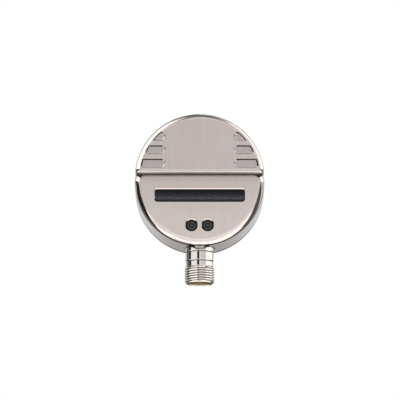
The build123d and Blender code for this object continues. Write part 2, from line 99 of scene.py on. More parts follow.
class Tree:
    def __init__(self, tree):
        self.tree = tree

    def node(self, kind, **values):
        made = self.tree.nodes.new(kind)
        for name, value in values.items():
            setattr(made, name, value)
        return made

    def link(self, start, end):
        self.tree.links.new(start, end)

    def feed(self, socket, value):
        if isinstance(value, bpy.types.NodeSocket):
            self.link(value, socket)
        else:
            socket.default_value = value

    def math(self, operation, first, second=None, third=None, clamp=False):
        made = self.node("ShaderNodeMath", operation=operation, use_clamp=clamp)
        for i, value in enumerate((first, second, third)):
            if value is not None:
                self.feed(made.inputs[i], value)
        return made.outputs[0]

    def ramp(self, value, low, high, toLow=0.0, toHigh=1.0, smooth=True):
        made = self.node("ShaderNodeMapRange", interpolation_type="SMOOTHSTEP" if smooth else "LINEAR")
        for i, given in enumerate((value, low, high, toLow, toHigh)):
            self.feed(made.inputs[i], given)
        return made.outputs[0]

    def times(self, first, *others):
        for other in others:
            first = self.math("MULTIPLY", first, other)
        return first

    def flip(self, value):
        return self.math("SUBTRACT", 1.0, value)

    def reach(self, first, second):
        squares = self.math("ADD", self.times(first, first), self.times(second, second))
        return self.math("SQRT", squares)

    def scaled(self, vector, scale):
        made = self.node("ShaderNodeVectorMath", operation="SCALE")
        self.feed(made.inputs[0], vector)
        self.feed(made.inputs["Scale"], scale)
        return made.outputs[0]

    def mix(self, share, first, second):
        made = self.node("ShaderNodeMix", data_type="RGBA")
        self.feed(made.inputs[0], share)
        self.feed(made.inputs[6], first)
        self.feed(made.inputs[7], second)
        return made.outputs[2]

    def noise(self, place, scale, detail=3.0):
        made = self.node("ShaderNodeTexNoise")
        self.link(place, made.inputs["Vector"])
        self.feed(made.inputs["Scale"], scale)
        made.inputs["Detail"].default_value = detail
        return made.outputs["Fac"]

    def stretch(self, place, scale):
        made = self.node("ShaderNodeMapping")
        self.link(place, made.inputs["Vector"])
        made.inputs["Scale"].default_value = scale
        return made.outputs[0]

    def split(self, vector):
        made = self.node("ShaderNodeSeparateXYZ")
        self.link(vector, made.inputs[0])
        return made.outputs

    def group(self, name, **values):
        made = self.node("ShaderNodeGroup", node_tree=bpy.data.node_groups[name])
        for socket, value in values.items():
            self.feed(made.inputs[socket], value)
        return made.outputs


def newGroup(name, inputs, outputs):
    group = bpy.data.node_groups.new(name, "ShaderNodeTree")
    kinds = {"Value": "NodeSocketFloat", "Colour": "NodeSocketColor", "Vector": "NodeSocketVector"}
    for socket, (kind, value) in inputs.items():
        made = group.interface.new_socket(socket, in_out="INPUT", socket_type=kinds[kind])
        made.default_value = value
    for socket, kind in outputs.items():
        group.interface.new_socket(socket, in_out="OUTPUT", socket_type=kinds[kind])
    tree = Tree(group)
    start = tree.node("NodeGroupInput").outputs
    end = tree.node("NodeGroupOutput").inputs
    return tree, start, end


def grey(level):
    return (level, level, level, 1)


# Shared effects

def makeMetalGrain():
    tree, given, out = newGroup(
        "metalGrain",
        {
            "Colour": ("Colour", (0.6, 0.6, 0.6, 1)),
            "Roughness": ("Value", 0.3),
            "Grain": ("Value", 6000.0),
            "Cloud": ("Value", 60.0),
            "Spread": ("Value", 0.05),
        },
        {"Colour": "Colour", "Roughness": "Value", "Height": "Value"},
    )
    place = tree.node("ShaderNodeTexCoord").outputs["Object"]
    fine = tree.noise(place, given["Grain"], 2.0)
    cloud = tree.noise(place, given["Cloud"], 3.0)
    # Both noises swing round a half, so their sum does round the value taken off here.
    middle = 0.75
    tone = tree.math("ADD", tree.math("MULTIPLY", fine, 0.5), cloud)
    swing = tree.math("MULTIPLY", tree.math("SUBTRACT", tone, middle), given["Spread"])
    tree.link(tree.scaled(given["Colour"], tree.math("ADD", swing, 1.0)), out["Colour"])
    rough = tree.math("ADD", given["Roughness"], tree.math("MULTIPLY", swing, 0.6))
    tree.link(rough, out["Roughness"])
    tree.link(fine, out["Height"])


def makeEdgeWear():
    tree, given, out = newGroup(
        "edgeWear",
        {"Radius": ("Value", 0.0003), "Amount": ("Value", 1.0)},
        {"Mask": "Value"},
    )
    bevel = tree.node("ShaderNodeBevel", samples=4)
    tree.link(given["Radius"], bevel.inputs["Radius"])
    flat = tree.node("ShaderNodeNewGeometry").outputs["Normal"]
    apart = tree.node("ShaderNodeVectorMath", operation="DISTANCE")
    tree.link(bevel.outputs[0], apart.inputs[0])
    tree.link(flat, apart.inputs[1])
    place = tree.node("ShaderNodeTexCoord").outputs["Object"]
    broken = tree.ramp(tree.noise(place, 900.0), 0.35, 0.65, 0.4, 1.0)
    mask = tree.math("MULTIPLY", tree.ramp(apart.outputs["Value"], 0.1, 0.6), broken)
    tree.link(tree.math("MULTIPLY", mask, given["Amount"], clamp=True), out["Mask"])


def makeTurnedLines():
    tree, given, out = newGroup(
        "turnedLines",
        {"Pitch": ("Value", 0.0001), "Centre": ("Vector", (0, 0, 0)), "Axis": ("Vector", (0, 1, 0))},
        {"Height": "Value"},
    )
    place = tree.node("ShaderNodeTexCoord").outputs["Object"]
    away = tree.node("ShaderNodeVectorMath", operation="SUBTRACT")
    tree.link(place, away.inputs[0])
    tree.link(given["Centre"], away.inputs[1])
    along = tree.node("ShaderNodeVectorMath", operation="DOT_PRODUCT")
    tree.link(away.outputs[0], along.inputs[0])
    tree.link(given["Axis"], along.inputs[1])
    sideways = tree.node("ShaderNodeVectorMath", operation="CROSS_PRODUCT")
    tree.link(away.outputs[0], sideways.inputs[0])
    tree.link(given["Axis"], sideways.inputs[1])
    reach = tree.node("ShaderNodeVectorMath", operation="LENGTH")
    tree.link(sideways.outputs[0], reach.inputs[0])
    travel = tree.math("ADD", along.outputs["Value"], reach.outputs["Value"])
    turns = tree.math("DIVIDE", travel, given["Pitch"])
    wave = tree.math("SINE", tree.math("MULTIPLY", turns, 2 * pi))
    tree.link(tree.math("MULTIPLY_ADD", wave, 0.5, 0.5), out["Height"])


makeMetalGrain()
makeEdgeWear()
makeTurnedLines()
print("shared effects built")


# Materials

def newMaterial(name):
    material = bpy.data.materials.new(name)
    material.use_nodes = True
    tree = Tree(material.node_tree)
    shader = material.node_tree.nodes["Principled BSDF"]
    return material, tree, shader


def bumped(tree, shader, height, distance):
    bump = tree.node("ShaderNodeBump")
    bump.inputs["Distance"].default_value = distance
    tree.link(height, bump.inputs["Height"])
    tree.link(bump.outputs[0], shader.inputs["Normal"])


headSteelLook = {
    "colour": (0.585, 0.525, 0.495, 1),
    "edgeColour": (0.70, 0.66, 0.64, 1),
    "grooveColour": (0.475, 0.44, 0.435, 1),
    # painted shade on the grooves' downward walls, painted light on their upward and outward walls
    "grooveRoofShade": (0.07, 0.06, 0.06, 1),
    "grooveSillLight": (0.92, 0.88, 0.86, 1),
    # painted shade under the step, from its front edge to its root
    "undersideShadeFront": (0.62, 0.58, 0.56, 1),
    "undersideShadeDeep": (0.02, 0.018, 0.017, 1),
    # painted shade on the rounding above the step, where it faces down
    "browShade": (0.44, 0.40, 0.38, 1),
    # painted shade on a band along the rear edge
    "rearEdgeShade": (0.40, 0.375, 0.36, 1),
    # painted shade on the walls of the key holes
    "keyHoleShade": (0.03, 0.03, 0.03, 1),
    # painted dim reflection: a dark specular tint on the rear edge and the shoulder
    "dimReflection": (0.12, 0.12, 0.12, 1),   # what the rear edge and the shoulder mirror at a glance
    "blasted": 0.33,              # roughness of the two flat front faces
    "polished": 0.075,            # roughness of the rims and the side wall
    "browDull": 0.22,             # what each of these adds to the roughness
    "sillDull": 0.35,
    "roofDull": 0.25,
    "undersideDull": 0.3,
    "grain": 5200.0,
    "grainDepth": 0.000004,
    "streaks": (900, 900, 45),
    "streakTones": (0.975, 1.02),
    "wearRadius": 0.00035,
    "wearAmount": 0.4,
    # painted light on the lower face: paler at its bottom, towards the step and in the corner under it
    "lowerFaceLight": (1.15, 1.04),   # tone of the lower face at its bottom and below the step
    "stepLight": 0.2,              # how much paler it is towards the step
    "cornerLight": 0.45,           # how much paler still in the corner under it
}
# How far a normal turns towards a direction before a surface counts as facing it, and then fully.
headFacing = {
    "front": (0.93, 0.995),
    "underside": (0.6, 0.95),
    "brow": (0.02, 0.35),
    "roof": (0.25, 0.5),
    "sill": (0.2, 0.5),
    "grooveEnd": (0.3, 0.5),
}
headZones = {
    # Metres behind the front, where a zone sets in or fades out.
    "groove": (0.00005, 0.0002),
    "grooveFloor": (0.0003, 0.0006),
    "behindFront": (0.0012, 0.0016),
    "deepUnderStep": (0.0012, 0.0042),
    "lowerFace": (0.006, 0.007),
    "holes": (0.0077, 0.0079),
    "shoulder": (0.0088, 0.0096),     # here the lower rim turns into the side wall
    "pastShoulder": (0.0116, 0.0124),
    # Heights.
    "underStep": (0.0005, 0.001),
    "aboveStep": (0.0026, 0.0034),
    "grooveRows": (0.0033, 0.0036),
    "lowerRows": (-0.021, 0.0),
    "stepRows": (-0.0035, 0.0012),
    "cornerRows": (0.0, 0.0015),
    # Other limits.
    "keyRows": (-0.0208, -0.0155),
    "keyReach": 0.0062,
    "grooveRim": 0.0017,
    "rearEdge": (0.0032, 0.0022),     # ahead of the rear
}


def makeHeadSteel():
    look, zones, facing = headSteelLook, headZones, headFacing
    material, tree, shader = newMaterial("headSteel")
    low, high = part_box("housing")
    coordinates = tree.node("ShaderNodeTexCoord").outputs
    normal = tree.split(coordinates["Normal"])
    place = tree.split(coordinates["Object"])
    height = place[2]
    depth = tree.math("SUBTRACT", place[1], low.y)
    downward = tree.math("MULTIPLY", normal[2], -1.0)
    flat = tree.ramp(tree.math("ABSOLUTE", normal[1]), *facing["front"])

    def behind(zone, *tones):
        return tree.ramp(depth, *zones[zone], *tones)

    def rows(zone, *tones):
        return tree.ramp(height, *zones[zone], *tones)

    # The step's underside, and the rounding in front of it: both carry painted shade, the underside darkest
    # at its root.
    atStep = tree.times(rows("underStep"), rows("aboveStep", 1.0, 0.0))
    underside = tree.times(tree.ramp(downward, *facing["underside"]), atStep)
    brow = tree.times(tree.ramp(downward, *facing["brow"]), atStep)
    underShade = tree.mix(behind("deepUnderStep"), look["undersideShadeFront"], look["undersideShadeDeep"])

    # Painted shade: the walls of the key holes are painted near black.
    keyHole = tree.times(
        behind("holes"),
        tree.flip(flat),
        tree.math("LESS_THAN", tree.math("ABSOLUTE", place[0]), zones["keyReach"]),
        tree.math("GREATER_THAN", height, zones["keyRows"][0]),
        tree.math("LESS_THAN", height, zones["keyRows"][1]),
    )
    # Painted shade along the rear edge; its reflection is also dimmed below.
    rearFrom, rearTo = zones["rearEdge"]
    rearEdge = tree.ramp(place[1], high.y - rearFrom, high.y - rearTo)
    # Painted dim reflection along the shoulder, where the lower rim meets the side wall.
    belowMiddle = tree.math("LESS_THAN", height, 0.0)
    shoulder = tree.times(behind("shoulder"), behind("pastShoulder", 1.0, 0.0), belowMiddle)

    # The grip grooves: their floors, the walls that face down, which carry painted shade, and the walls that
    # face up or outward, which carry painted light.
    nearFront = behind("behindFront", 1.0, 0.0)
    insideRim = tree.math("LESS_THAN", tree.reach(place[0], height), high.x - zones["grooveRim"])
    inGroove = tree.times(behind("groove"), nearFront, rows("grooveRows"), insideRim)
    grooveFloor = tree.times(flat, behind("grooveFloor"), nearFront)
    roof = tree.times(inGroove, tree.ramp(downward, *facing["roof"]))
    outward = tree.times(normal[0], tree.math("SIGN", place[0]))
    lit = tree.math(
        "MAXIMUM", tree.ramp(normal[2], *facing["sill"]), tree.ramp(outward, *facing["grooveEnd"])
    )
    sill = tree.times(inGroove, lit)

    # Painted light: the lower face is painted paler towards the step, in the corner under it and at its
    # bottom.
    slope = rows("lowerRows", *look["lowerFaceLight"])
    slope = tree.math("ADD", slope, rows("stepRows", 0.0, look["stepLight"]))
    slope = tree.math("ADD", slope, rows("cornerRows", 0.0, look["cornerLight"]))
    lower = tree.times(flat, behind("lowerFace"))
    lowerTone = tree.math("MULTIPLY_ADD", lower, tree.math("SUBTRACT", slope, 1.0), 1.0)

    colour = tree.mix(grooveFloor, look["colour"], look["grooveColour"])
    # painted shade on the downward rounding above the step
    colour = tree.mix(brow, colour, look["browShade"])
    # painted shade under the step
    colour = tree.mix(underside, colour, underShade)
    colour = tree.mix(rearEdge, colour, look["rearEdgeShade"])
    colour = tree.mix(keyHole, colour, look["keyHoleShade"])
    # painted shade on the grooves' roofs, painted light on their sills and ends
    colour = tree.mix(roof, colour, look["grooveRoofShade"])
    colour = tree.mix(sill, colour, look["grooveSillLight"])
    streaks = tree.noise(tree.stretch(coordinates["Object"], look["streaks"]), 1.0, 2.0)
    shade = tree.ramp(streaks, 0.3, 0.7, *look["streakTones"], smooth=False)
    toned = tree.scaled(colour, tree.times(shade, lowerTone))

    rough = tree.ramp(flat, 0.0, 1.0, look["polished"], look["blasted"], smooth=False)
    dullPlaces = {"browDull": brow, "sillDull": sill, "roofDull": roof, "undersideDull": underside}
    for dull, mask in dullPlaces.items():
        rough = tree.math("MULTIPLY_ADD", mask, look[dull], rough)
    grain = tree.group("metalGrain", Colour=toned, Roughness=rough, Grain=look["grain"])
    wear = tree.group("edgeWear", Radius=look["wearRadius"], Amount=look["wearAmount"])[0]
    tree.link(tree.mix(wear, grain["Colour"], look["edgeColour"]), shader.inputs["Base Color"])
    tree.link(grain["Roughness"], shader.inputs["Roughness"])
    # Painted dim reflection on the rear edge and the shoulder, through the specular tint.
    dimmedReflection = tree.math("MAXIMUM", rearEdge, shoulder)
    tree.link(tree.mix(dimmedReflection, grey(1.0), look["dimReflection"]), shader.inputs["Specular Tint"])
    shader.inputs["Metallic"].default_value = 1.0
    bumped(tree, shader, tree.times(grain["Height"], flat), look["grainDepth"])
    return material


turnedLooks = {
    "turnedSteel": {"colour": (0.56, 0.52, 0.50, 1), "roughness": 0.22, "pitch": 0.00012, "depth": 0.000002},
    "springSteel": {"colour": (0.42, 0.41, 0.41, 1), "roughness": 0.3, "pitch": 0.0001, "depth": 0.000001},
    "brassMetal": {"colour": (0.70, 0.52, 0.24, 1), "roughness": 0.25, "pitch": 0.0001, "depth": 0.000001},
    "goldPlate": {"colour": (0.86, 0.63, 0.27, 1), "roughness": 0.2, "pitch": 0.0001, "depth": 0.0000005},
    "canMetal": {"colour": (0.74, 0.74, 0.75, 1), "roughness": 0.3, "pitch": 0.0001, "depth": 0.000001},
}
turnedWear = {"radius": 0.0003, "amount": 0.6, "brighter": 1.18, "grain": 4000.0}


def makeTurnedSteel(name, look):
    material, tree, shader = newMaterial(name)
    colour = look["colour"]
    grain = tree.group("metalGrain", Colour=colour, Roughness=look["roughness"], Grain=turnedWear["grain"])
    wear = tree.group("edgeWear", Radius=turnedWear["radius"], Amount=turnedWear["amount"])[0]
    bright = tuple(min(1.0, part * turnedWear["brighter"]) for part in colour[:3]) + (1,)
    tree.link(tree.mix(wear, grain["Colour"], bright), shader.inputs["Base Color"])
    tree.link(grain["Roughness"], shader.inputs["Roughness"])
    shader.inputs["Metallic"].default_value = 1.0
    bumped(tree, shader, tree.group("turnedLines", Pitch=look["pitch"])[0], look["depth"])
    return material


plasticLooks = {
    "blackRubber": {"colour": (0.018, 0.018, 0.018, 1), "roughness": 0.7, "grain": 2500.0, "depth": 0.00001},
    "blackPlastic": {"colour": (0.02, 0.02, 0.02, 1), "roughness": 0.42, "grain": 2600.0, "depth": 0.000006},
    "whitePlastic": {"colour": (0.74, 0.73, 0.69, 1), "roughness": 0.45, "grain": 2600.0, "depth": 0.000004},
    "wireJacket": {"colour": (0.24, 0.03, 0.025, 1), "roughness": 0.4, "grain": 3500.0, "depth": 0.000003},
    "lampLens": {"colour": (0.42, 0.41, 0.40, 1), "roughness": 0.18, "grain": 1500.0, "depth": 0.000001},
    "whiteCeramic": {"colour": (0.82, 0.81, 0.78, 1), "roughness": 0.5, "grain": 6000.0, "depth": 0.000002},
    "darkChip": {"colour": (0.05, 0.045, 0.045, 1), "roughness": 0.35, "grain": 5000.0, "depth": 0.000002},
}
plasticSpread = 0.12   # how far a plastic's tone swings


def makePlastic(name, look):
    material, tree, shader = newMaterial(name)
    grain = tree.group(
        "metalGrain",
        Colour=look["colour"],
        Roughness=look["roughness"],
        Grain=look["grain"],
        Spread=plasticSpread,
    )
    tree.link(grain["Colour"], shader.inputs["Base Color"])
    tree.link(grain["Roughness"], shader.inputs["Roughness"])
    bumped(tree, shader, grain["Height"], look["depth"])
    return material


keyLook = {
    # Painted light on the key caps: a bluish painted glint on the nub, a paler painted highlight ring, and
    # painted shade in the well and on the side.
    "nub": (0.030, 0.036, 0.050, 1),
    "well": (0.006, 0.007, 0.009, 1),
    "ring": (0.062, 0.060, 0.062, 1),
    "side": (0.003, 0.003, 0.003, 1),
    "nubRadius": 0.00070,
    "ringInner": 0.00120,
    "ringOuter": 0.00172,
    "soft": 0.0001,
    "specular": 0.3,
    "roughness": 0.3,
    "grain": 3000.0,
    "depth": 0.000003,
}


def makeKeyPlastic():
    look = keyLook
    material, tree, shader = newMaterial("keyPlastic")
    low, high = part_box("right_key")
    middle = (low + high) / 2
    place = tree.split(tree.node("ShaderNodeTexCoord").outputs["Object"])
    # Both keys share this material, so the distance is from the nearer key's middle.
    across = tree.math("SUBTRACT", tree.math("ABSOLUTE", place[0]), middle.x)
    radius = tree.reach(across, tree.math("SUBTRACT", place[2], middle.z))

    def outside(limit):
        return tree.ramp(radius, look[limit] - look["soft"], look[limit] + look["soft"])

    # Painted glint on the nub, painted shade in the well, painted highlight on the ring, painted shade on
    # the side.
    colour = tree.mix(outside("nubRadius"), look["nub"], look["well"])
    colour = tree.mix(outside("ringInner"), colour, look["ring"])
    colour = tree.mix(outside("ringOuter"), colour, look["side"])
    grain = tree.group(
        "metalGrain",
        Colour=colour,
        Roughness=look["roughness"],
        Grain=look["grain"],
        Spread=plasticSpread,
    )
    tree.link(grain["Colour"], shader.inputs["Base Color"])
    tree.link(grain["Roughness"], shader.inputs["Roughness"])
    shader.inputs["Specular IOR Level"].default_value = look["specular"]
    bumped(tree, shader, grain["Height"], look["depth"])
    return material


boardLook = {
    "mask": (0.012, 0.10, 0.045, 1),
    "trace": (0.03, 0.19, 0.085, 1),
    "cells": 350.0,
    "line": (0.04, 0.08),
    "roughness": 0.3,
    "depth": 0.00002,
}


def makeBoard():
    look = boardLook
    material, tree, shader = newMaterial("circuitBoard")
    place = tree.node("ShaderNodeTexCoord").outputs["Object"]
    cells = tree.node("ShaderNodeTexVoronoi", distance="CHEBYCHEV", feature="DISTANCE_TO_EDGE")
    tree.link(place, cells.inputs["Vector"])
    cells.inputs["Scale"].default_value = look["cells"]
    line = tree.ramp(cells.outputs[0], *look["line"], 1.0, 0.0)
    tree.link(tree.mix(line, look["mask"], look["trace"]), shader.inputs["Base Color"])
    shader.inputs["Roughness"].default_value = look["roughness"]
    bumped(tree, shader, line, look["depth"])
    return material


windowLook = {
    # Painted shade at the top of the pane and painted reflection paler towards the bottom; darker again at
    # its foot.
    "top": (0.006, 0.004, 0.003, 1),
    "bottom": (0.128, 0.132, 0.150, 1),
    "edge": (0.030, 0.028, 0.030, 1),
    "lap": 0.0012,               # what the housing hides at the window's top and bottom
    "palest": 0.0014,            # above the lap at the bottom
    "foot": (0.0013, 0.0004),    # where the dark foot begins and is full, above the same lap
    "steepness": 2.5,
    "cellPitch": 0.0032,
    "cellTone": 0.06,
    "clear": 0.6,
    "grain": 2400.0,
    "roughness": (0.08, 0.11),
    "ior": 1.25,
}


def makeSmokedWindow():
    look = windowLook
    material, tree, shader = newMaterial("smokedWindow")
    low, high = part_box("display_window")
    coordinates = tree.node("ShaderNodeTexCoord").outputs["Object"]
    place = tree.split(coordinates)
    top, bottom = high.z - look["lap"], low.z + look["lap"]
    # Painted shade at the top, painted reflection rising towards the bottom.
    rise = tree.ramp(place[2], top, bottom + look["palest"], smooth=False)
    pale = tree.math("POWER", tree.math("MAXIMUM", rise, 0.0), look["steepness"])
    cells = tree.math("SINE", tree.math("MULTIPLY", place[0], 2 * pi / look["cellPitch"]))
    pale = tree.times(pale, tree.math("MULTIPLY_ADD", cells, look["cellTone"], 1 - look["cellTone"]))
    tint = tree.mix(pale, look["top"], look["bottom"])
    foot = tree.ramp(place[2], bottom + look["foot"][0], bottom + look["foot"][1])
    tree.link(tree.mix(foot, tint, look["edge"]), shader.inputs["Base Color"])
    rough = tree.ramp(tree.noise(coordinates, look["grain"]), 0.3, 0.7, *look["roughness"])
    tree.link(rough, shader.inputs["Roughness"])
    shader.inputs["Transmission Weight"].default_value = look["clear"]
    shader.inputs["IOR"].default_value = look["ior"]
    return material


connectorCentre = (0.0, -0.024, 0.0)
platingLook = {
    "colour": (0.66, 0.63, 0.60, 1),
    "brass": (0.56, 0.52, 0.42, 1),
    "boreReflection": (0.55, 0.45, 0.26, 1),
    "mouthShade": (0.34, 0.31, 0.22, 1),
    "threadHighlight": (0.76, 0.73, 0.70, 1),
    "rootShade": (0.36, 0.34, 0.33, 1),
    "grooveColour": (0.08, 0.075, 0.07, 1),
    "roughness": 0.09,
    "boreDull": 0.5,             # what the bore adds to the roughness
    "brassRows": (-0.0391, -0.0398),
    "patches": 900.0,
    "patchTones": (0.7, 1.0),
    "boreRadius": 0.0049,
    "mouthRadius": 0.0053,
    "roots": (0.00545, 0.00565),
    "grooveRadius": 0.00542,
    "grooveRows": (-0.03122, -0.0269),
    "threadTop": -0.0335,
    "grain": 3000.0,
    "linePitch": 0.00008,
    "lineDepth": 0.0000006,
}


def makePlating():
    look = platingLook
    material, tree, shader = newMaterial("nickelPlate")
    coordinates = tree.node("ShaderNodeTexCoord").outputs["Object"]
    place = tree.split(coordinates)
    height = place[2]
    across = tree.math("SUBTRACT", place[0], connectorCentre[0])
    radius = tree.reach(across, tree.math("SUBTRACT", place[1], connectorCentre[1]))

    # The tip and the bore are painted brassy, a painted reflection of the gold pins; the thread carries a
    # painted highlight, and painted shade darkens its roots, the grooves and the mouth.
    tip = tree.ramp(height, *look["brassRows"])
    patches = tree.ramp(tree.noise(coordinates, look["patches"]), 0.2, 0.6, *look["patchTones"])
    colour = tree.mix(tree.times(tip, patches), look["colour"], look["brass"])
    # Painted highlight on the thread, painted shade in its roots.
    thread = tree.times(tree.math("LESS_THAN", height, look["threadTop"]), tree.flip(tip))
    colour = tree.mix(thread, colour, look["threadHighlight"])
    root = tree.times(thread, tree.ramp(radius, *look["roots"], 1.0, 0.0))
    colour = tree.mix(root, colour, look["rootShade"])
    # Painted shade in the collar's grooves.
    groove = tree.times(
        tree.math("LESS_THAN", radius, look["grooveRadius"]),
        tree.math("GREATER_THAN", height, look["grooveRows"][0]),
        tree.math("LESS_THAN", height, look["grooveRows"][1]),
    )
    colour = tree.mix(groove, colour, look["grooveColour"])
    # Painted shade at the mouth.
    mouth = tree.times(tip, tree.math("LESS_THAN", radius, look["mouthRadius"]))
    colour = tree.mix(mouth, colour, look["mouthShade"])
    # Painted reflection of the gold pins on the bore.
    inBore = tree.math("LESS_THAN", radius, look["boreRadius"])
    colour = tree.mix(inBore, colour, look["boreReflection"])

    rough = tree.math("MULTIPLY_ADD", inBore, look["boreDull"], look["roughness"])
    grain = tree.group("metalGrain", Colour=colour, Roughness=rough, Grain=look["grain"])
    tree.link(grain["Colour"], shader.inputs["Base Color"])
    tree.link(grain["Roughness"], shader.inputs["Roughness"])
    shader.inputs["Metallic"].default_value = 1.0
    lines = tree.group("turnedLines", Pitch=look["linePitch"], Centre=connectorCentre, Axis=(0, 0, 1))[0]
    bumped(tree, shader, lines, look["lineDepth"])
    return material


def makeMaterials():
    made = {name: makePlastic(name, look) for name, look in plasticLooks.items()}
    made.update({name: makeTurnedSteel(name, look) for name, look in turnedLooks.items()})
    made["headSteel"] = makeHeadSteel()
    made["keyPlastic"] = makeKeyPlastic()
    made["circuitBoard"] = makeBoard()
    made["smokedWindow"] = makeSmokedWindow()
    made["nickelPlate"] = makePlating()
    return made


materials = makeMaterials()

slotMaterials = {
    "stainless_steel": "turnedSteel",
    "spring_steel": "springSteel",
    "smoked_window": "smokedWindow",
    "black_rubber": "blackRubber",
    "key_plastic": "keyPlastic",
    "black_plastic": "blackPlastic",
    "white_plastic": "whitePlastic",
    "aluminium_can": "canMetal",
    "circuit_board": "circuitBoard",
    "lamp_lens": "lampLens",
    "brass": "brassMetal",
    "gold_plated": "goldPlate",
    "nickel_plate": "nickelPlate",
    "lead_jacket": "wireJacket",
    "white_ceramic": "whiteCeramic",
    "chip_dark": "darkChip",
}
ownMaterials = {"housing": "headSteel"}


def paint(piece, material):
    piece.data.materials.clear()
    piece.data.materials.append(materials[material])


def dressNodes():
    for part in frame["record"]["subparts"]:
        name = part["node"]
        paint(nodes[name], ownMaterials.get(name, slotMaterials[part["material_slot"]]))


dressNodes()
print("materials on all nodes")


# Threads and turned pieces

def addPiece(name, mesh, body, replaced, material):
    piece = bpy.data.objects.new(name, mesh)
    bpy.context.scene.collection.objects.link(piece)
    paint(piece, material)
    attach(piece, body)
    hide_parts(*replaced)


# One turn of a thread: the share of the pitch, and the rise from the root to the crest.
threadShape = ((0.0, 0.0), (0.12, 0.0), (0.30, 0.5), (0.48, 1.0), (0.60, 1.0), (0.80, 0.5))
turning = {"merge": 0.0000005, "sharp": 32.0}


def threadRows(thread):
    pitch, start = thread["pitch"], thread["start"]
    count = int((thread["end"] - start) / pitch) + 3
    rows = []
    for turn in range(-1, count):
        for share, rise in threadShape:
            radius = thread["radius"] - thread["depth"] * (1 - rise)
            rows.append((start + (turn + share) * pitch, radius))
    return rows


def leadLimit(thread, along):
    # The thread's radius is cut to a cone at both ends.
    startLead, endLead = thread["lead"]
    low = thread["radius"] - max(0.0, startLead - (along - thread["start"]))
    high = thread["radius"] - max(0.0, endLead - (thread["end"] - along))
    return min(low, high)


def outlineAt(profile, thread, share):
    # The profile holds (radius, along) in millimetres or "thread", and a radius may follow the angle.
    points = []
    for entry in profile:
        if entry == "thread":
            for along, radius in threadRows(thread):
                kept = min(max(along + thread["pitch"] * share, thread["start"]), thread["end"])
                points.append((min(radius, leadLimit(thread, kept)), kept))
        else:
            radius, along = entry
            points.append((radius(2 * pi * share) if callable(radius) else radius, along))
    return points


def placed(axis, centre, radius, along, angle):
    side, rise = radius * cos(angle), radius * sin(angle)
    if axis == "Z":
        return Vector((centre[0] + side, centre[1] + rise, centre[2] + along))
    return Vector((centre[0] + side, centre[1] + along, centre[2] + rise))


def turnedMesh(name, axis, centre, profile, thread, segments):
    work = bmesh.new()
    columns = []
    for i in range(segments + 1):
        share = i / segments
        angle = 2 * pi * share
        points = outlineAt(profile, thread, share)
        places = [placed(axis, centre, radius * mm, along * mm, angle) for radius, along in points]
        columns.append([work.verts.new(place) for place in places])
    for left, right in zip(columns, columns[1:]):
        for i in range(len(left)):
            j = (i + 1) % len(left)
            work.faces.new((left[i], left[j], right[j], right[i]))
    bmesh.ops.remove_doubles(work, verts=work.verts, dist=turning["merge"])
    bmesh.ops.dissolve_degenerate(work, edges=work.edges, dist=turning["merge"])
    bmesh.ops.recalc_face_normals(work, faces=work.faces)
    for face in work.faces:
        face.smooth = True
    mesh = bpy.data.meshes.new(name)
    work.to_mesh(mesh)
    work.free()
    mesh.set_sharp_from_angle(angle=radians(turning["sharp"]))
    return mesh


# Connector shell with its real thread

connectorThread = {
    "radius": 6.0,
    "depth": 0.58,
    "pitch": 1.0,
    "end": -33.4,
    "lead": (0.55, 0.55),
}
shellLook = {
    "collar": 5.65,
    "collarLength": 4.0,
    "neck": 5.5,
    "neckLength": 2.2,
    "neckEase": (0.02, 0.2),
    "flangeLength": 1.7,
    "spigot": 4.75,
    "spigotChamfer": 0.4,
    "bore": 4.8,
    "boreDepth": 10.5,
    "inner": 3.9,
    "groove": 0.3,
    "mouth": 0.4,
    "soft": 0.12,
    "segments": 144,
}


def makeConnectorShell():
    low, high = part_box("connector_shell")
    s = shellLook
    soft = s["soft"]
    top, bottom = high.z / mm, low.z / mm
    thread = dict(connectorThread, start=bottom)
    neck = thread["end"]
    collarLow = neck + s["neckLength"]
    collarHigh = collarLow + s["collarLength"]
    flangeHigh = collarHigh + s["flangeLength"]
    boreEnd = bottom + s["boreDepth"]
    groove = s["groove"]
    profile = [
        (s["bore"], bottom + s["mouth"]),
        (s["bore"] + s["mouth"], bottom),
        "thread",
        (s["neck"] - soft, neck + s["neckEase"][0]),
        (s["neck"], neck + s["neckEase"][1]),
        (s["neck"], collarLow - soft),
        (s["neck"] - groove, collarLow),
        (s["neck"] - groove, collarLow + groove),
        (s["collar"] - soft, collarLow + groove),
        (s["collar"], collarLow + groove + soft),
        (s["collar"], collarHigh - groove - soft),
        (s["collar"] - soft, collarHigh - groove),
        (s["collar"] - groove, collarHigh - groove),
        (s["collar"] - groove, collarHigh),
        (s["collar"] - soft, collarHigh),
        (s["collar"], collarHigh + soft),
        (s["collar"], flangeHigh - soft),
        (s["collar"] - soft, flangeHigh),
        (s["spigot"], flangeHigh),
        (s["spigot"], top - s["spigotChamfer"]),
        (s["spigot"] - s["spigotChamfer"], top),
        (s["inner"], top),
        (s["inner"], boreEnd),
        (s["bore"], boreEnd),
    ]
    mesh = turnedMesh("connectorShell", "Z", connectorCentre, profile, thread, s["segments"])
    addPiece("connectorShell", mesh, "head", ["connector_shell"], "nickelPlate")


makeConnectorShell()
print("connector shell threaded")


# Process body: hexagon, thread and swivel spigot in one turned piece

processThread = {"radius": 10.48, "depth": 1.05, "pitch": 1.814, "lead": (1.0, 1.05)}
processLook = {
    "flats": 27.0,
    "hexLength": 9.0,
    "hexChamfer": 1.0,
    "chamferSlope": 1.7,
    "chamferRows": 6,
    "flange": 13.0,
    "soft": 0.15,
    "bore": 3.0,
    "spigotChamfer": 0.5,
    "sealDepth": 0.9,
    "clipDepth": 0.6,
    "segments": 180,
}


def hexRadius(flats, limit):
    # Distance to a hexagon's side at an angle, cut off by a round limit.
    def reach(angle):
        turn = angle % (pi / 3) - pi / 6
        return min(flats / 2 / cos(turn), limit)

    return reach


